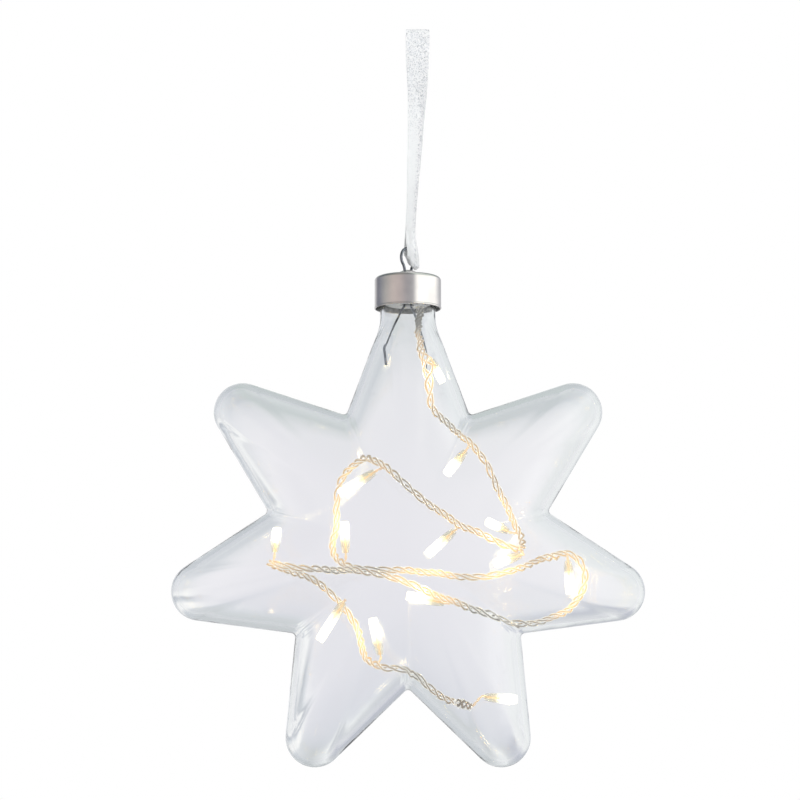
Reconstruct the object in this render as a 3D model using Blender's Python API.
"""A hollow glass star on a ribbon, lit by a string of lamps that its cap feeds from three button cells.

Units are metres, +Z is up, +X is to the right and -Y is towards the viewer.
The origin is the hang point, inside the top of the ribbon's loop. The star, its cap and all that they
hold are placed from an empty at the star's centre.
"""

import math

import bmesh
import bpy
from mathutils import Matrix, Vector

MM = 0.001

# Clearance between pieces that touch or sit in each other, and how far a cut runs past what it cuts
GAP = 0.3 * MM
OVERRUN = 1.0 * MM
WELD = 0.003 * MM

# Facets
ROUND_STEPS = 32
SMALL_ROUND_STEPS = 20
CELL_ROUND_STEPS = 28

# Glass star
POINTS = 7
TIP_RADIUS = 100.2 * MM
VALLEY_RADIUS = 59.4 * MM
TIP_ROUNDING = 12.2 * MM
STAR_THICKNESS = 44.0 * MM
GLASS_WALL = 1.3 * MM
PLUMPNESS_SHARE = 0.333
TIP_STEPS = 6
SIDE_STEPS = 3
PILLOW_RINGS = 6
NECK_WALL = 1.4 * MM
NECK_RISE = 3.3 * MM
NECK_ROOT = 17.0 * MM

# Hanger loop and its spring legs
WIRE = 1.0 * MM
RING_OUTER = 9.5 * MM
RING_TURN = math.radians(48)
RING_OPEN = math.radians(40)
LEG_SPACING = 4.0 * MM
RING_STEPS = 20
LEG_PLAY = 1.2 * MM
LEG_KINK_DROP = 16.5 * MM
LEG_TIP_TURN = 1.2 * MM
LEG_TIP_DROP = 25.0 * MM
LEG_BEND_DROP = 1.2 * MM
REACH_STEPS = 24

# Button cells, their contacts and the board above them
CELL_WIDTH = 7.9 * MM
CELL_HEIGHT = 3.6 * MM
CELL_EDGE = 0.3 * MM
CELL_ANGLES = (math.radians(30), math.radians(150), math.radians(270))
CONTACT_THICKNESS = 0.3 * MM
CONTACT_WIDTH = 5.6 * MM
CONTACT_NAMES = ("cell_contact", "contact_bridge", "bridge_end")
BRIDGE_WIDTH = 2.2 * MM
BRIDGE_THICKNESS = 0.2 * MM
BOARD_THICKNESS = 0.8 * MM
BOARD_MARGIN = 0.05 * MM
BOARD_BORE_STEP = 0.4 * MM
RESISTOR_LENGTH = 3.2 * MM
RESISTOR_WIDTH = 1.6 * MM
RESISTOR_HEIGHT = 0.8 * MM
RESISTOR_INSET = 2.7 * MM
RESISTOR_ANGLE = math.radians(210)

# Switch
SWITCH_LENGTH = 5.4 * MM
SWITCH_WIDTH = 3.0 * MM
SWITCH_HEIGHT = 3.4 * MM
SWITCH_INSET = 3.7 * MM
SWITCH_TRAVEL = 2.0 * MM
KNOB_LENGTH = 1.6 * MM
KNOB_WIDTH = 1.6 * MM
KNOB_RISE = 1.5 * MM
SLIDER_FOOT = 0.5 * MM
SLIDER_LIP = 0.5 * MM

# Battery carrier: its floor, its rim round the board and the wall between its bore and its pockets
PLUG_DEPTH = 3.4 * MM
CARRIER_FLOOR = 1.5 * MM
CARRIER_RIM = 0.6 * MM
CARRIER_EDGE = 0.4 * MM
POCKET_WALL = 0.95 * MM

# Cap shell
CAP_WALL = 0.5 * MM
CAP_PLAY = 1.8 * MM
CAP_SKIRT = 4.8 * MM
CAP_HEADROOM = 0.4 * MM
CAP_CORNER = 1.5 * MM
CAP_HEM = 0.25 * MM
CAP_HEM_HEIGHT = 0.9 * MM
DOME_WIDTH = 10.4 * MM
DOME_RISE = 3.2 * MM
CORNER_STEPS = 3

# String of lamps
CABLE = 3.0 * MM
GROMMET_ANGLE = math.radians(-27)
GROMMET_WALL = 0.4 * MM
GROMMET_COLLAR = 5.0 * MM
GROMMET_RISE = 0.8 * MM
SLEEVE = 4.0 * MM
SLEEVE_WALL = 0.45 * MM
LAMP = 2.2 * MM
LAMP_LENGTH = 4.2 * MM
LAMP_SETBACK = 2.0 * MM
LEAD = 1.3 * MM
LEAD_RUN = 2.6 * MM
LEAD_STEPS = 6
SPLICE = 4.2 * MM
SPLICE_LENGTH = 7.0 * MM
LEAD_IN_STEPS = 12
STRING_STEPS = 76
ROUTE_STEPS = 16

# Ribbon
RIBBON_WIDTH = 10.0 * MM
RIBBON_THICKNESS = 0.35 * MM
RIBBON_RING_PLAY = 1.15 * MM
RIBBON_RING_SAG = 1.2 * MM
HOOK_SPACE = 6.2 * MM
HOOK_RUN = 9.0 * MM
CLOSED_SPACE = 1.1 * MM
CLOSE_RUN = 26.0 * MM
RIBBON_LEAN = 3.6 * MM
RIBBON_LENGTH = 95.0 * MM
RIBBON_OVERLAP = 9.0 * MM
OVERLAP_DROP = 14.0 * MM
RIBBON_STEPS = 26
FOLD_STEPS = 7
GATHER_SHARE = 0.5
STITCH_THREAD = 0.5 * MM
STITCH_WIDTH = 7.0 * MM
STITCH_HEIGHT = 0.9 * MM

# Widths that follow from these sizes, from the bore outwards: the carrier holds the cells round its bore,
# the cap holds the carrier and the neck fits in the cap
CARRIER_BORE = LEG_SPACING + WIRE + 4 * GAP
CELL_CIRCLE = CARRIER_BORE / 2 + POCKET_WALL + GAP + CELL_WIDTH / 2
BOARD_WIDTH = 2 * (CELL_CIRCLE + CELL_WIDTH / 2 + BOARD_MARGIN)
BOARD_BORE = CARRIER_BORE + 2 * BOARD_BORE_STEP
CARRIER_OUTER = BOARD_WIDTH + 2 * GAP + 2 * CARRIER_RIM
CAP_INSIDE = CARRIER_OUTER + 2 * GAP
CAP_OUTER = CAP_INSIDE + 2 * CAP_WALL
NECK_OUTER = CAP_INSIDE - 2 * CAP_PLAY
NECK_BORE = NECK_OUTER - 2 * NECK_WALL
PLUG_OUTER = NECK_BORE - 4 * GAP
SWITCH_REACH = BOARD_WIDTH / 2 - SWITCH_INSET
RESISTOR_REACH = BOARD_WIDTH / 2 - RESISTOR_LENGTH / 2 - RESISTOR_INSET
GROMMET_REACH = CARRIER_BORE / 2 + GROMMET_WALL + CABLE / 2 + 2 * GAP
GROMMET_PLACE = (GROMMET_REACH * math.cos(GROMMET_ANGLE), GROMMET_REACH * math.sin(GROMMET_ANGLE))

# Heights that follow, from the star's centre up
NECK_RIM = TIP_RADIUS + NECK_RISE
CAP_BOTTOM = NECK_RIM - CAP_SKIRT
CARRIER_BOTTOM = NECK_RIM + GAP
PLUG_BOTTOM = CARRIER_BOTTOM - PLUG_DEPTH
POCKET_FLOOR = CARRIER_BOTTOM + CARRIER_FLOOR
CONTACT_BOTTOM = POCKET_FLOOR + GAP
CELL_BOTTOM = CONTACT_BOTTOM + CONTACT_THICKNESS + GAP
BOARD_BOTTOM = CELL_BOTTOM + CELL_HEIGHT + 2 * GAP
SWITCH_TOP = BOARD_BOTTOM - GAP
CARRIER_TOP = BOARD_BOTTOM + BOARD_THICKNESS
CAP_TOP = CARRIER_TOP + CAP_HEADROOM + CAP_WALL
DOME_TOP = CAP_TOP + DOME_RISE
RING_CENTRE = DOME_TOP + GAP + RING_OUTER / 2
RING_RADIUS = (RING_OUTER - WIRE) / 2
RING_TOP_WIRE = RING_CENTRE + RING_RADIUS
RIBBON_IN_RING = RING_OUTER - 2 * WIRE - 2 * RIBBON_RING_PLAY
LEG_END = PLUG_BOTTOM + PLUG_DEPTH / 2
LEG_BEND = PLUG_BOTTOM - WIRE / 2
CENTRE_DROP = RIBBON_LENGTH - WIRE / 2 - GAP + RING_TOP_WIRE
PLUMB = Vector((-RIBBON_LEAN, 0, -CENTRE_DROP))

# The string's route from the grommet, chosen by hand, as x, y and z in millimetres from the star's centre.
# The first part runs down the neck and gives when the cap is pulled; the rest lies in the star.
LEAD_IN_ROUTE = (
    (4.9, -2.6, 95.0),
    (4.2, -3.4, 89.5),
    (5.6, -4.6, 82.0),
    (7.4, -5.0, 75.0),
    (8.6, -4.6, 69.5),
    (9.2, -4.0, 64.5),
)
STRING_ROUTE = (
    (9.2, -4.0, 64.1),
    (10.1, -2.6, 57.5),
    (13.9, -0.6, 52.9),
    (18.4, 1.6, 49.0),
    (24.4, 3.0, 44.2),
    (29.1, 4.4, 39.0),
    (33.1, 5.6, 34.3),
    (36.1, 6.8, 28.1),
    (40.3, 8.0, 18.7),
    (44.5, 8.2, 10.4),
    (47.6, 6.4, 2.6),
    (47.8, 1.6, -1.6),
    (44.2, -3.6, -1.6),
    (37.7, -6.2, 0.6),
    (30.3, -8.0, 3.8),
    (20.8, -9.4, 7.9),
    (10.4, -10.4, 15.0),
    (3.4, -10.2, 20.4),
    (-5.5, -9.0, 28.1),
    (-11.7, -6.6, 33.5),
    (-17.8, -3.0, 35.3),
    (-24.4, 1.0, 31.7),
    (-28.5, 4.4, 24.8),
    (-29.9, 6.8, 16.5),
    (-30.3, 8.4, 7.9),
    (-31.5, 8.8, 0.4),
    (-30.5, 7.4, -5.5),
    (-25.2, 4.6, -8.9),
    (-15.9, 0.4, -10.4),
    (-5.9, -1.6, -10.9),
    (5.0, -2.6, -11.3),
    (15.9, -3.0, -12.7),
    (29.9, -3.2, -13.8),
    (41.2, -2.0, -11.7),
    (52.8, 1.0, -7.3),
    (60.0, 3.2, -4.8),
    (66.4, 4.4, -3.6),
    (71.7, 4.0, -6.5),
    (73.7, 2.2, -12.5),
    (71.7, 0.0, -21.4),
    (64.5, -2.4, -28.3),
    (53.7, -4.6, -32.5),
    (43.2, -6.4, -32.7),
    (34.1, -8.0, -29.5),
    (24.4, -9.4, -25.8),
    (14.2, -10.4, -22.1),
    (4.6, -10.8, -18.2),
    (-5.0, -10.4, -14.3),
    (-15.9, -9.6, -11.5),
    (-29.7, -8.4, -10.7),
    (-42.0, -7.0, -10.3),
    (-51.9, -5.0, -8.5),
    (-57.1, -0.2, -7.5),
    (-52.9, 4.8, -10.3),
    (-45.2, 6.8, -12.5),
    (-38.5, 8.0, -15.9),
    (-32.7, 8.4, -20.2),
    (-27.2, 8.0, -25.8),
    (-22.2, 6.4, -33.3),
    (-19.2, 3.8, -41.6),
    (-16.6, 1.0, -48.2),
    (-10.1, -1.8, -50.7),
    (-3.4, -3.4, -51.1),
    (2.6, -4.2, -53.7),
    (7.9, -4.0, -58.7),
    (13.5, -3.0, -62.8),
    (19.4, -1.6, -65.0),
)

# Each lamp's sleeve from its lead end to its tip, in millimetres from the star's centre
LAMPS = (
    ((10.5, 2.6, 77.7), (15.5, 4.2, 68.4)),
    ((23.8, -2.4, 38.6), (15.9, -4.6, 28.7)),
    ((41.8, 3.0, 5.5), (32.7, 0.8, 9.5)),
    ((46.2, -7.4, -4.6), (35.3, -9.4, -8.3)),
    ((19.2, -4.6, 5.5), (7.9, -3.4, -4.6)),
    ((-13.7, -11.2, 29.3), (-28.1, -9.8, 20.4)),
    ((-26.0, 4.0, -3.6), (-26.6, 3.4, 9.5)),
    ((14.9, -6.2, -24.2), (-0.6, -5.6, -21.2)),
    ((66.4, -0.6, -6.5), (67.0, -2.6, -20.8)),
    ((-55.5, 1.6, -3.2), (-54.9, 2.4, 7.3)),
    ((-26.8, 3.2, -24.2), (-37.1, 1.6, -40.0)),
    ((-11.5, 3.0, -46.0), (-14.7, 4.2, -30.7)),
    ((31.6, 0.4, -63.0), (45.8, 0.6, -64.0)),
)


def clear_scene():
    """Removes the objects that a new file starts with."""
    for old in list(bpy.data.objects):
        bpy.data.objects.remove(old, do_unlink=True)


def make_material(name, colour, roughness, metallic=0.0, alpha=1.0, transmission=0.0):
    """A Principled material with one colour."""
    made = bpy.data.materials.new(name)
    made.use_nodes = True
    shader = made.node_tree.nodes["Principled BSDF"]
    shader.inputs["Base Color"].default_value = (*colour, 1.0)
    shader.inputs["Roughness"].default_value = roughness
    shader.inputs["Metallic"].default_value = metallic
    shader.inputs["Alpha"].default_value = alpha
    shader.inputs["Transmission Weight"].default_value = transmission
    return made


def finishes():
    """The part's materials by name."""
    return {
        "glass": make_material("clear_glass", (0.9, 0.92, 0.95), 0.03, 0.0, 0.35, 0.9),
        "cap": make_material("satin_cap_metal", (0.62, 0.58, 0.56), 0.32, 1.0),
        "wire": make_material("spring_wire", (0.32, 0.33, 0.36), 0.25, 1.0),
        "ribbon": make_material("organza", (0.86, 0.87, 0.88), 0.6, 0.0, 0.8),
        "thread": make_material("white_thread", (0.9, 0.9, 0.9), 0.8),
        "carrier": make_material("white_plastic", (0.85, 0.85, 0.84), 0.4),
        "cell": make_material("cell_steel", (0.7, 0.7, 0.72), 0.25, 1.0),
        "contact": make_material("contact_brass", (0.75, 0.6, 0.3), 0.3, 1.0),
        "board": make_material("circuit_board", (0.05, 0.25, 0.12), 0.45),
        "black": make_material("black_plastic", (0.03, 0.03, 0.035), 0.4),
        "cable": make_material("clear_cable", (0.85, 0.78, 0.58), 0.25, 0.0, 0.8, 0.3),
        "sleeve": make_material("clear_sleeve", (0.95, 0.9, 0.75), 0.2, 0.0, 0.5, 0.5),
        "lamp": make_material("warm_lamp", (1.0, 0.86, 0.55), 0.3),
    }


def add_object(name, data, material, parent=None):
    """Links an object with its material, placed from its parent."""
    made = bpy.data.objects.new(name, data)
    bpy.context.scene.collection.objects.link(made)
    if material is not None:
        data.materials.append(material)
    if parent is not None:
        made.parent = parent
    return made


def finish_mesh(name, work, material, parent=None, sharp=math.radians(35)):
    """Turns bmesh work into an object whose faces point out, with its round parts shaded smooth."""
    bmesh.ops.recalc_face_normals(work, faces=work.faces)
    data = bpy.data.meshes.new(name)
    work.to_mesh(data)
    work.free()
    data.shade_smooth()
    data.set_sharp_from_angle(angle=sharp)
    return add_object(name, data, material, parent)


def turned(name, profile, material, parent=None, sides=ROUND_STEPS, centre=(0.0, 0.0)):
    """Spins a closed profile of (radius, height) points about a vertical axis at centre.

    A profile point on the axis closes the shape there."""
    work = bmesh.new()
    rings = []
    for radius, height in profile:
        if radius <= 0:
            rings.append([work.verts.new((centre[0], centre[1], height))])
            continue
        ring = []
        for step in range(sides):
            angle = 2 * math.pi * step / sides
            across = centre[0] + radius * math.cos(angle)
            along = centre[1] + radius * math.sin(angle)
            ring.append(work.verts.new((across, along, height)))
        rings.append(ring)
    for first, second in zip(rings, rings[1:] + rings[:1]):
        if len(first) == 1 and len(second) == 1:
            continue
        for step in range(sides):
            after = (step + 1) % sides
            corners = [
                first[step % len(first)],
                first[after % len(first)],
                second[after % len(second)],
                second[step % len(second)],
            ]
            kept = list(dict.fromkeys(corners))
            work.faces.new(kept)
    return finish_mesh(name, work, material, parent)


def disc(name, radius, low, high, material, parent=None, sides=ROUND_STEPS, centre=(0.0, 0.0)):
    """A plain upright cylinder."""
    profile = [(0, low), (radius, low), (radius, high), (0, high)]
    return turned(name, profile, material, parent, sides, centre)


def block(name, size, middle, material, parent=None, turn=0.0):
    """A box of this size, turned about the vertical and centred on middle."""
    work = bmesh.new()
    bmesh.ops.create_cube(work, size=1.0)
    place = Matrix.Translation(middle) @ Matrix.Rotation(turn, 4, "Z")
    bmesh.ops.transform(work, matrix=place @ Matrix.Diagonal((*size, 1.0)), verts=work.verts)
    return finish_mesh(name, work, material, parent)


def combine(target, tool, operation):
    """Applies a Boolean of tool to target, and removes the tool."""
    modifier = target.modifiers.new(operation.lower(), "BOOLEAN")
    modifier.operation = operation
    modifier.solver = "EXACT"
    modifier.object = tool
    bpy.context.view_layer.update()
    graph = bpy.context.evaluated_depsgraph_get()
    made = bpy.data.meshes.new_from_object(target.evaluated_get(graph))
    target.modifiers.clear()
    old = target.data
    target.data = made
    bpy.data.meshes.remove(old)
    bpy.data.objects.remove(tool, do_unlink=True)
    return target


def smooth_route(points, count):
    """Count points at even steps along a smooth curve through these points."""
    marks = [Vector(point) for point in points]
    ends = [2 * marks[0] - marks[1], *marks, 2 * marks[-1] - marks[-2]]
    fine = []
    for place in range(1, len(ends) - 2):
        before, start, end, after = ends[place - 1 : place + 3]
        for piece in range(ROUTE_STEPS):
            t = piece / ROUTE_STEPS
            way = (end - before) * t + (2 * before - 5 * start + 4 * end - after) * t * t
            way += (3 * (start - end) + after - before) * t * t * t
            fine.append(start + way / 2)
    fine.append(marks[-1])
    return even_steps(fine, count)


def even_steps(line, count):
    """Count points at equal distances along a line of points, its ends kept."""
    runs = [0.0]
    for first, second in zip(line, line[1:]):
        runs.append(runs[-1] + (second - first).length)
    made = []
    place = 0
    for step in range(count):
        wanted = runs[-1] * step / (count - 1)
        while place < len(line) - 2 and runs[place + 1] < wanted:
            place += 1
        span = runs[place + 1] - runs[place]
        share = (wanted - runs[place]) / span if span > 0 else 0.0
        made.append(line[place].lerp(line[place + 1], share))
    return made


def route_length(line):
    """The length along a line of points."""
    return sum((second - first).length for first, second in zip(line, line[1:]))


def tube(name, line, width, material, parent=None, resolution=2):
    """A curve object with a round bevel and filled caps along a line of points."""
    data = bpy.data.curves.new(name, "CURVE")
    data.dimensions = "3D"
    data.bevel_depth = width / 2
    data.bevel_resolution = resolution
    data.use_fill_caps = True
    spline = data.splines.new("POLY")
    spline.points.add(len(line) - 1)
    for point, place in zip(spline.points, line):
        point.co = (*place, 1.0)
    return add_object(name, data, material, parent)


def side_line():
    """The tip's circle centre along an arm, and the angle of the arm's sides to its axis."""
    tip_centre = TIP_RADIUS - TIP_ROUNDING
    valley = Vector(
        (
            VALLEY_RADIUS * math.cos(math.pi / POINTS),
            VALLEY_RADIUS * math.sin(math.pi / POINTS),
        )
    )
    away = tip_centre - valley.x
    reach = math.hypot(away, valley.y)
    slope = math.atan2(valley.y, away) - math.asin(TIP_ROUNDING / reach)
    return tip_centre, slope, valley


def arm_outline(inset):
    """One arm's outline from its axis to the valley, drawn in by inset, as points in its own frame."""
    tip_centre, slope, valley = side_line()
    rounding = TIP_ROUNDING - inset
    last = math.pi / 2 - slope
    points = []
    for step in range(TIP_STEPS + 1):
        angle = last * step / TIP_STEPS
        points.append(
            Vector((tip_centre + rounding * math.cos(angle), rounding * math.sin(angle)))
        )
    bisector = math.pi / POINTS
    inward = inset / math.sin(bisector + slope)
    end = valley - Vector((math.cos(bisector), math.sin(bisector))) * inward
    start = points[-1]
    for step in range(1, SIDE_STEPS + 1):
        points.append(start.lerp(end, step / SIDE_STEPS))
    return points


def star_outline(inset):
    """The whole star's outline, anticlockwise from its top point, as (x, z) points."""
    half = arm_outline(inset)
    one_arm = [Vector((p.x, -p.y)) for p in reversed(half[1:-1])] + half
    outline = []
    for arm in range(POINTS):
        turn = math.pi / 2 + 2 * math.pi * arm / POINTS
        for point in one_arm:
            across = point.x * math.cos(turn) - point.y * math.sin(turn)
            up = point.x * math.sin(turn) + point.y * math.cos(turn)
            outline.append(Vector((across, up)))
    return outline


def pillow(name, inset, material, parent=None):
    """A star-shaped cushion of glass: the outline scaled towards its centre, thicker the further in."""
    outline = star_outline(inset)
    depth = STAR_THICKNESS / 2 - inset
    work = bmesh.new()
    rim = [work.verts.new((p.x, 0, p.y)) for p in outline]
    for side in (-1, 1):
        ring = rim
        for step in range(1, PILLOW_RINGS + 1):
            turn = math.pi / 2 * step / PILLOW_RINGS
            share = math.cos(turn) ** (2 * PLUMPNESS_SHARE)
            bulge = math.sin(turn) ** (2 * PLUMPNESS_SHARE)
            if step == PILLOW_RINGS:
                middle = work.verts.new((0, side * depth, 0))
                for place, vertex in enumerate(ring):
                    work.faces.new((vertex, ring[(place + 1) % len(ring)], middle))
                continue
            inner = [
                work.verts.new((p.x * share, side * depth * bulge, p.y * share))
                for p in outline
            ]
            for place in range(len(ring)):
                after = (place + 1) % len(ring)
                work.faces.new((ring[place], ring[after], inner[after], inner[place]))
            ring = inner
    return finish_mesh(name, work, material, parent, math.radians(60))


def make_star(looks, centre):
    """The blown glass: a star and its neck, hollow, open at the neck's rim."""
    star = pillow("glass_star", 0.0, looks["glass"], centre)
    neck = disc(
        "neck", NECK_OUTER / 2, NECK_RIM - NECK_ROOT - OVERRUN, NECK_RIM, None, centre
    )
    combine(star, neck, "UNION")
    hollow = pillow("hollow", GLASS_WALL, None, centre)
    bore = disc("bore", NECK_BORE / 2, NECK_RIM - NECK_ROOT, NECK_RIM + OVERRUN, None, centre)
    combine(hollow, bore, "UNION")
    combine(star, hollow, "DIFFERENCE")
    return star


def make_cap(looks, centre):
    """The metal cap: a cup with a soft corner, a rolled hem and a dome for the hanger."""
    outer = CAP_OUTER / 2
    hem = CAP_BOTTOM + CAP_HEM_HEIGHT
    profile = [(outer - CAP_WALL, CAP_BOTTOM)]
    profile.append((outer + CAP_HEM / 2, CAP_BOTTOM))
    profile.append((outer + CAP_HEM, CAP_BOTTOM + CAP_HEM_HEIGHT / 2))
    profile.append((outer, hem))
    middle = outer - CAP_CORNER
    for step in range(CORNER_STEPS + 1):
        angle = math.pi / 2 * step / CORNER_STEPS
        across = middle + CAP_CORNER * math.cos(angle)
        profile.append((across, CAP_TOP - CAP_CORNER + CAP_CORNER * math.sin(angle)))
    dome = DOME_WIDTH / 2
    for step in range(CORNER_STEPS + 1):
        angle = math.pi / 2 * step / CORNER_STEPS
        profile.append((dome * math.cos(angle), CAP_TOP + DOME_RISE * math.sin(angle)))
    profile[-1] = (0, DOME_TOP)
    inside = CAP_TOP - CAP_WALL
    for step in range(CORNER_STEPS + 1):
        angle = math.pi / 2 * (CORNER_STEPS - step) / CORNER_STEPS
        across = (dome - CAP_WALL) * math.cos(angle)
        profile.append((across, inside + DOME_RISE * math.sin(angle)))
    profile[-CORNER_STEPS - 1] = (0, inside + DOME_RISE)
    for step in range(CORNER_STEPS + 1):
        angle = math.pi / 2 * (CORNER_STEPS - step) / CORNER_STEPS
        across = middle + (CAP_CORNER - CAP_WALL) * math.cos(angle)
        rise = (CAP_CORNER - CAP_WALL) * math.sin(angle)
        profile.append((across, CAP_TOP - CAP_CORNER + rise))
    cap = turned("cap_shell", profile, looks["cap"], centre)
    for side in (-1, 1):
        place = leg_place(side * LEG_SPACING / 2)
        hole = disc(
            "wire_hole",
            WIRE / 2 + GAP,
            CAP_TOP - CAP_CORNER,
            DOME_TOP + OVERRUN,
            None,
            centre,
            SMALL_ROUND_STEPS,
            place,
        )
        combine(cap, hole, "DIFFERENCE")
    slot_length = KNOB_LENGTH + SWITCH_TRAVEL + 2 * GAP
    slot = block(
        "switch_slot",
        (slot_length, KNOB_WIDTH + 2 * GAP, CAP_WALL + 2 * OVERRUN),
        (0, SWITCH_REACH, CAP_TOP - CAP_WALL / 2),
        None,
        centre,
    )
    combine(cap, slot, "DIFFERENCE")
    return cap


def leg_place(reach):
    """The (x, y) place of a wire that stands this far from the axis in the ring's plane."""
    return (reach * math.cos(RING_TURN), reach * math.sin(RING_TURN))


def in_ring_plane(reach, height):
    """A point in the ring's plane."""
    across, along = leg_place(reach)
    return Vector((across, along, height))


def glass_share(across, height):
    """How far a point of the star's plane lies towards the outline of its hollow: 0 in the middle, 1 on it."""
    outline = star_outline(GLASS_WALL)
    for first, second in zip(outline, outline[1:] + outline[:1]):
        side = second - first
        turn = side.x * height - side.y * across
        if turn == 0:
            continue
        share = (side.x * first.y - side.y * first.x) / turn
        place = (first.x * height - first.y * across) / -turn
        if share > 0 and 0 <= place <= 1:
            return 1 / share
    return 0.0


def glass_reach(height):
    """How far from the axis the hollow reaches in the ring's plane at this height."""
    depth = STAR_THICKNESS / 2 - GLASS_WALL
    power = 1 / PLUMPNESS_SHARE
    near, far = 0.0, STAR_THICKNESS
    for _ in range(REACH_STEPS):
        middle = (near + far) / 2
        across, along = leg_place(middle)
        inside = glass_share(across, height) ** power + (along / depth) ** power < 1
        near, far = (middle, far) if inside else (near, middle)
    return near


def make_hanger(looks, centre):
    """The hanger loop with its two shanks through the dome, and the spring legs that go on below."""
    line = [in_ring_plane(-LEG_SPACING / 2, LEG_END + GAP)]
    line.append(in_ring_plane(-LEG_SPACING / 2, DOME_TOP + WIRE / 2))
    for step in range(RING_STEPS + 1):
        angle = RING_OPEN + (2 * math.pi - 2 * RING_OPEN) * step / RING_STEPS
        reach = -RING_RADIUS * math.sin(angle)
        line.append(in_ring_plane(reach, RING_CENTRE - RING_RADIUS * math.cos(angle)))
    line.append(in_ring_plane(LEG_SPACING / 2, DOME_TOP + WIRE / 2))
    line.append(in_ring_plane(LEG_SPACING / 2, LEG_END + GAP))
    tube("hanger_loop", line, WIRE, looks["wire"], centre, 1)
    kink_height = PLUG_BOTTOM - LEG_KINK_DROP
    kink = glass_reach(kink_height) - WIRE / 2 - LEG_PLAY
    print("spring legs reach in mm:", round(kink / MM, 2))
    bend = LEG_SPACING / 2
    for side, name in ((-1, "spring_leg_front"), (1, "spring_leg_back")):
        marks = [
            in_ring_plane(side * bend, LEG_END),
            in_ring_plane(side * bend, LEG_BEND),
            in_ring_plane(side * (bend + LEG_BEND_DROP), LEG_BEND - LEG_BEND_DROP),
            in_ring_plane(side * kink, kink_height),
            in_ring_plane(side * (kink - LEG_TIP_TURN), PLUG_BOTTOM - LEG_TIP_DROP),
        ]
        tube(name, marks, WIRE, looks["wire"], centre, 1)


def make_carrier(looks, centre):
    """The white plastic carrier: a flange on the glass rim, a plug in the neck and pockets above."""
    profile = [
        (CARRIER_BORE / 2, PLUG_BOTTOM),
        (PLUG_OUTER / 2, PLUG_BOTTOM),
        (PLUG_OUTER / 2, CARRIER_BOTTOM),
        (CARRIER_OUTER / 2, CARRIER_BOTTOM),
        (CARRIER_OUTER / 2, CARRIER_TOP - CARRIER_EDGE),
        (CARRIER_OUTER / 2 - CARRIER_EDGE, CARRIER_TOP),
        (BOARD_WIDTH / 2 + GAP, CARRIER_TOP),
        (BOARD_WIDTH / 2 + GAP, BOARD_BOTTOM - GAP),
        (CARRIER_BORE / 2, BOARD_BOTTOM - GAP),
    ]
    carrier = turned("battery_carrier", profile, looks["carrier"], centre)
    cuts = []
    for angle in CELL_ANGLES:
        place = (CELL_CIRCLE * math.cos(angle), CELL_CIRCLE * math.sin(angle))
        cuts.append(
            disc(
                "pocket",
                CELL_WIDTH / 2 + GAP,
                POCKET_FLOOR,
                BOARD_BOTTOM + OVERRUN,
                None,
                centre,
                CELL_ROUND_STEPS,
                place,
            )
        )
    bed = SWITCH_TOP - SWITCH_HEIGHT - GAP
    cuts.append(
        block(
            "switch_bed",
            (SWITCH_LENGTH + 2 * GAP, SWITCH_WIDTH + 2 * GAP, BOARD_BOTTOM + OVERRUN - bed),
            (0, SWITCH_REACH, (BOARD_BOTTOM + OVERRUN + bed) / 2),
            None,
            centre,
        )
    )
    resistor_bed = BOARD_BOTTOM - 2 * GAP - RESISTOR_HEIGHT
    cuts.append(
        block(
            "resistor_bed",
            (
                RESISTOR_LENGTH + 2 * GAP,
                RESISTOR_WIDTH + 2 * GAP,
                BOARD_BOTTOM + OVERRUN - resistor_bed,
            ),
            (
                RESISTOR_REACH * math.cos(RESISTOR_ANGLE),
                RESISTOR_REACH * math.sin(RESISTOR_ANGLE),
                (BOARD_BOTTOM + OVERRUN + resistor_bed) / 2,
            ),
            None,
            centre,
            RESISTOR_ANGLE,
        )
    )
    cuts.append(
        disc(
            "grommet_hole",
            CABLE / 2 + 2 * GAP,
            PLUG_BOTTOM - OVERRUN,
            BOARD_BOTTOM + OVERRUN,
            None,
            centre,
            SMALL_ROUND_STEPS,
            GROMMET_PLACE,
        )
    )
    middle, length, turn = bridge_place()
    cuts.append(
        block(
            "bridge_bed",
            (length, BRIDGE_WIDTH + 2 * GAP, BOARD_BOTTOM + OVERRUN - POCKET_FLOOR),
            (*middle, (BOARD_BOTTOM + OVERRUN + POCKET_FLOOR) / 2),
            None,
            centre,
            turn,
        )
    )
    for cut in cuts:
        combine(carrier, cut, "DIFFERENCE")
    return carrier


def bridge_place():
    """The middle, length and turn of the bar that joins the contacts of the second and third cells."""
    first, second = (
        Vector((CELL_CIRCLE * math.cos(angle), CELL_CIRCLE * math.sin(angle)))
        for angle in CELL_ANGLES[1:]
    )
    way = second - first
    return (first + second) / 2, way.length, math.atan2(way.y, way.x)


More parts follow.
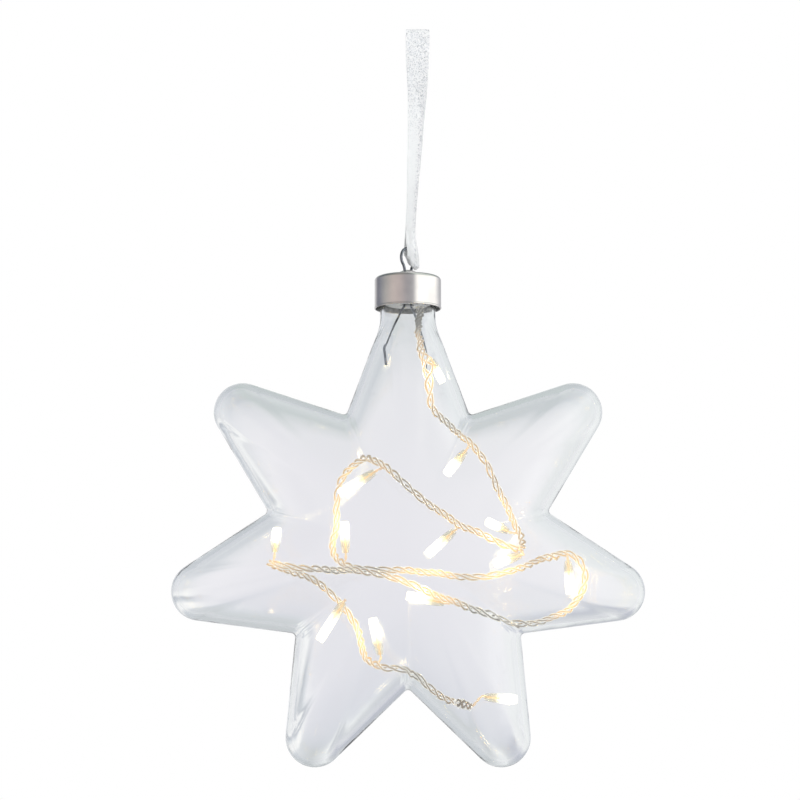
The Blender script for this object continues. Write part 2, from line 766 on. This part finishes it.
def make_power(looks, centre):
    """Cells, contacts, board, resistor and switch."""
    contacts = []
    for number, angle in enumerate(CELL_ANGLES, 1):
        place = (CELL_CIRCLE * math.cos(angle), CELL_CIRCLE * math.sin(angle))
        edge = CELL_WIDTH / 2
        top = CELL_BOTTOM + CELL_HEIGHT
        profile = [
            (0, CELL_BOTTOM),
            (edge - 2 * CELL_EDGE, CELL_BOTTOM),
            (edge - 2 * CELL_EDGE, CELL_BOTTOM + CELL_EDGE),
            (edge, CELL_BOTTOM + CELL_EDGE),
            (edge, top - CELL_EDGE),
            (edge - CELL_EDGE, top),
            (0, top),
        ]
        turned(f"button_cell_{number}", profile, looks["cell"], centre, CELL_ROUND_STEPS, place)
        contact = disc(
            CONTACT_NAMES[number - 1],
            CONTACT_WIDTH / 2,
            CONTACT_BOTTOM,
            CONTACT_BOTTOM + CONTACT_THICKNESS,
            looks["contact"],
            centre,
            SMALL_ROUND_STEPS,
            place,
        )
        contacts.append(contact)
    middle, length, turn = bridge_place()
    bar = block(
        "bar",
        (length, BRIDGE_WIDTH, BRIDGE_THICKNESS),
        (*middle, CONTACT_BOTTOM + CONTACT_THICKNESS / 2),
        None,
        centre,
        turn,
    )
    combine(contacts[1], bar, "UNION")
    combine(contacts[1], contacts[2], "UNION")
    ring = [
        (BOARD_BORE / 2, BOARD_BOTTOM),
        (BOARD_WIDTH / 2, BOARD_BOTTOM),
        (BOARD_WIDTH / 2, CARRIER_TOP),
        (BOARD_BORE / 2, CARRIER_TOP),
    ]
    board = turned("circuit_board", ring, looks["board"], centre)
    foot_length = KNOB_LENGTH + 2 * SLIDER_LIP
    foot_width = KNOB_WIDTH + 2 * SLIDER_LIP
    notch = block(
        "notch",
        (
            foot_length + SWITCH_TRAVEL + 2 * GAP,
            BOARD_WIDTH - 2 * SWITCH_REACH + foot_width + 2 * GAP,
            BOARD_THICKNESS + 2 * OVERRUN,
        ),
        (0, BOARD_WIDTH / 2, (BOARD_BOTTOM + CARRIER_TOP) / 2),
        None,
        centre,
    )
    combine(board, notch, "DIFFERENCE")
    block(
        "series_resistor",
        (RESISTOR_LENGTH, RESISTOR_WIDTH, RESISTOR_HEIGHT),
        (
            RESISTOR_REACH * math.cos(RESISTOR_ANGLE),
            RESISTOR_REACH * math.sin(RESISTOR_ANGLE),
            BOARD_BOTTOM - GAP - RESISTOR_HEIGHT / 2,
        ),
        looks["black"],
        centre,
        RESISTOR_ANGLE,
    )
    block(
        "switch_body",
        (SWITCH_LENGTH, SWITCH_WIDTH, SWITCH_HEIGHT),
        (0, SWITCH_REACH, SWITCH_TOP - SWITCH_HEIGHT / 2),
        looks["black"],
        centre,
    )
    rest = -SWITCH_TRAVEL / 2
    slider = block(
        "switch_slider",
        (foot_length, foot_width, SLIDER_FOOT),
        (rest, SWITCH_REACH, BOARD_BOTTOM + SLIDER_FOOT / 2),
        looks["black"],
        centre,
    )
    knob_top = CAP_TOP + KNOB_RISE
    knob_bottom = BOARD_BOTTOM + SLIDER_FOOT / 2
    knob = block(
        "knob",
        (KNOB_LENGTH, KNOB_WIDTH, knob_top - knob_bottom),
        (rest, SWITCH_REACH, (knob_top + knob_bottom) / 2),
        None,
        centre,
    )
    combine(slider, knob, "UNION")


def make_string(looks, centre):
    """The grommet, the lead in the neck, the string, its lamps in their sleeves and its end splice."""
    across, along = GROMMET_PLACE
    turned(
        "lead_grommet",
        [
            (0, PLUG_BOTTOM - GAP),
            (0, PLUG_BOTTOM - GROMMET_RISE - GAP),
            (GROMMET_COLLAR / 2 - GAP, PLUG_BOTTOM - GROMMET_RISE - GAP),
            (GROMMET_COLLAR / 2, PLUG_BOTTOM - GAP),
        ],
        looks["carrier"],
        centre,
        SMALL_ROUND_STEPS,
        (across, along),
    )
    start = Vector((across, along, PLUG_BOTTOM - GROMMET_RISE - 2 * GAP))
    lead_in = [start] + [Vector(point) * MM for point in LEAD_IN_ROUTE]
    string = [Vector(point) * MM for point in STRING_ROUTE]
    neck_line = smooth_route(lead_in, LEAD_IN_STEPS)
    tube("lead_in_cable", neck_line, CABLE, looks["cable"], centre, 1)
    route = smooth_route(string, STRING_STEPS)
    tube("string_cable", route, CABLE, looks["cable"], centre, 1)
    print("lead-in in mm:", round(route_length(neck_line) / MM, 1))
    print("string in mm:", round(route_length(route) / MM, 1))
    way = (route[-1] - route[-2]).normalized()
    splice = [route[-1] + way * GAP, route[-1] + way * (GAP + SPLICE_LENGTH)]
    tube("end_splice", splice, SPLICE, looks["sleeve"], centre, 2)
    fine = smooth_route(lead_in + string, 4 * STRING_STEPS)
    places = [(Vector(lead_end) * MM, Vector(tip) * MM) for lead_end, tip in LAMPS]
    for number, (lead_end, tip) in enumerate(places[:-1], 1):
        behind = lead_end + (lead_end - tip).normalized() * LEAD_RUN
        nearest = min(fine, key=lambda place: (place - behind).length)
        off = (behind - nearest).normalized()
        start = nearest + off * (CABLE / 2 + GAP + LEAD / 2)
        make_lamp(looks, centre, number, start, lead_end, tip)
    make_lamp(looks, centre, len(places), splice[1] + way * (GAP + LEAD / 2), *places[-1])


def make_lamp(looks, centre, number, start, lead_end, tip):
    """One lamp in its sleeve, and its lead from its start beside the string."""
    way = (tip - lead_end).normalized()
    ends = [lead_end, tip]
    sleeve = tube(f"lamp_sleeve_{number:02d}", ends, SLEEVE, looks["sleeve"], centre, 2)
    bore = tube(
        "sleeve_bore",
        [lead_end - way * OVERRUN, tip + way * OVERRUN],
        SLEEVE - 2 * SLEEVE_WALL,
        None,
        centre,
        2,
    )
    hollowed(sleeve, bore)
    lamp_back = tip - way * (LAMP_SETBACK + LAMP_LENGTH)
    tube(
        f"lamp_{number:02d}",
        [lamp_back, tip - way * LAMP_SETBACK],
        LAMP,
        looks["lamp"],
        centre,
        2,
    )
    inside = lamp_back - way * GAP
    middle = lead_end - way * LEAD
    line = smooth_route([start, middle, lead_end + way * LEAD, inside], LEAD_STEPS)
    tube(f"lamp_lead_{number:02d}", line, LEAD, looks["cable"], centre, 1)


def hollowed(outer, bore):
    """Cuts one tube out of another, as meshes."""
    graph = bpy.context.evaluated_depsgraph_get()
    parts = []
    for source in (outer, bore):
        data = bpy.data.meshes.new_from_object(source.evaluated_get(graph))
        weld = bmesh.new()
        weld.from_mesh(data)
        bmesh.ops.remove_doubles(weld, verts=weld.verts, dist=WELD)
        weld.to_mesh(data)
        weld.free()
        parts.append(data)
    name = outer.name
    parent = outer.parent
    material = outer.data.materials[0]
    bpy.data.objects.remove(outer, do_unlink=True)
    bpy.data.objects.remove(bore, do_unlink=True)
    parts[0].materials.clear()
    made = add_object(name, parts[0], material, parent)
    tool = add_object("bore", parts[1], None, parent)
    return combine(made, tool, "DIFFERENCE")


def eased(share):
    """A share from 0 to 1 that starts and stops gently."""
    kept = min(1.0, max(0.0, share))
    return kept * kept * (3 - 2 * kept)


def ribbon_line():
    """The ribbon from its inner end, round the loop, to its overlapping outer end.

    Each entry is (middle, width direction, width, droop of its edges). The two layers part at the top
    for a hook, close up below it, and part again round the ring's wire, where the ribbon is turned and
    gathered."""
    bottom = -RIBBON_LENGTH
    wire = Vector((-RIBBON_LEAN, 0, bottom + GAP + WIRE / 2))
    wrap = WIRE / 2 + GAP + RIBBON_THICKNESS / 2
    top_radius = (HOOK_SPACE + RIBBON_THICKNESS) / 2
    top_middle = RIBBON_THICKNESS / 2 - top_radius

    def at(height):
        """Middle of the two layers, half the space between them, turn and width at this height."""
        share = (top_middle - height) / (top_middle - wire.z)
        lean = eased(share)
        middle = Vector((wire.x * lean, 0, height))
        opening = eased((top_middle - height - HOOK_RUN / 2) / CLOSE_RUN)
        closing = eased((height - wire.z) / HOOK_RUN)
        half = top_radius + (CLOSED_SPACE / 2 - top_radius) * opening
        half = wrap + (half - wrap) * closing
        gathered = max(0.0, share - GATHER_SHARE) / (1 - GATHER_SHARE)
        width = RIBBON_WIDTH + (RIBBON_IN_RING - RIBBON_WIDTH) * gathered
        return middle, half, RING_TURN * lean, width, RIBBON_RING_SAG * (1 - closing)

    def layer(height, side, extra=0.0):
        middle, half, turn, width, sag = at(height)
        across = Vector((math.cos(turn), math.sin(turn), 0))
        out = Vector((-math.sin(turn), math.cos(turn), 0))
        return middle + out * side * (half + extra), across, width, sag

    heights = [
        top_middle + (wire.z - top_middle) * step / RIBBON_STEPS
        for step in range(RIBBON_STEPS + 1)
    ]
    overlap_low = top_middle - OVERLAP_DROP - RIBBON_OVERLAP
    overlap_high = top_middle - OVERLAP_DROP
    lift = RIBBON_THICKNESS + GAP
    entries = [layer(overlap_high, 1)]
    entries += [layer(height, 1) for height in heights if height < overlap_high]
    _, _, turn, width, sag = at(wire.z)
    across = Vector((math.cos(turn), math.sin(turn), 0))
    out = Vector((-math.sin(turn), math.cos(turn), 0))
    for step in range(1, FOLD_STEPS):
        angle = math.pi * step / FOLD_STEPS
        place = wire + out * wrap * math.cos(angle) - Vector((0, 0, wrap * math.sin(angle)))
        entries.append((place, across, width, sag))
    entries += [layer(height, -1) for height in reversed(heights)]
    for step in range(1, FOLD_STEPS):
        angle = math.pi * step / FOLD_STEPS
        place = Vector((0, -top_radius * math.cos(angle), top_middle + top_radius * math.sin(angle)))
        entries.append((place, Vector((1, 0, 0)), RIBBON_WIDTH, 0.0))
    clear = overlap_high + RIBBON_OVERLAP / 3
    entries += [layer(height, 1) for height in heights if height > clear]
    entries.append(layer(clear, 1, lift))
    entries.append(layer(overlap_high, 1, lift))
    entries.append(layer((overlap_high + overlap_low) / 2, 1, lift))
    entries.append(layer(overlap_low, 1, lift))
    return entries, (overlap_high + overlap_low) / 2, layer


def make_ribbon(looks):
    """The ribbon as one long strip, and the thread that joins its ends."""
    entries, stitch_height, layer = ribbon_line()
    work = bmesh.new()
    rings = []
    for place, (middle, across, width, sag) in enumerate(entries):
        before = entries[max(place - 1, 0)][0]
        after = entries[min(place + 1, len(entries) - 1)][0]
        along = (after - before).normalized()
        out = across.cross(along).normalized()
        corners = []
        for side, face in ((-1, -1), (0, -1), (1, -1), (1, 1), (0, 1), (-1, 1)):
            corner = middle + across * side * width / 2 + out * face * RIBBON_THICKNESS / 2
            corner.z -= sag * abs(side)
            corners.append(work.verts.new(corner))
        rings.append(corners)
    for first, second in zip(rings, rings[1:]):
        for corner in range(len(first)):
            after = (corner + 1) % len(first)
            work.faces.new((first[corner], first[after], second[after], second[corner]))
    work.faces.new(rings[0][::-1])
    work.faces.new(rings[-1])
    finish_mesh("hanging_ribbon", work, looks["ribbon"])
    place, across, _, _ = layer(stitch_height, 1, 2 * RIBBON_THICKNESS + 2 * GAP)
    out = Vector((-across.y, across.x, 0))
    middle = place + out * STITCH_THREAD / 2
    turn = math.atan2(across.y, across.x)
    stitch = (STITCH_WIDTH, STITCH_THREAD, STITCH_HEIGHT)
    block("ribbon_stitching", stitch, middle, looks["thread"], None, turn)


def main():
    clear_scene()
    looks = finishes()
    centre = bpy.data.objects.new("star_centre", None)
    bpy.context.scene.collection.objects.link(centre)
    centre.location = PLUMB
    bpy.context.view_layer.update()
    make_star(looks, centre)
    make_cap(looks, centre)
    make_hanger(looks, centre)
    make_carrier(looks, centre)
    make_power(looks, centre)
    make_string(looks, centre)
    make_ribbon(looks)


main()
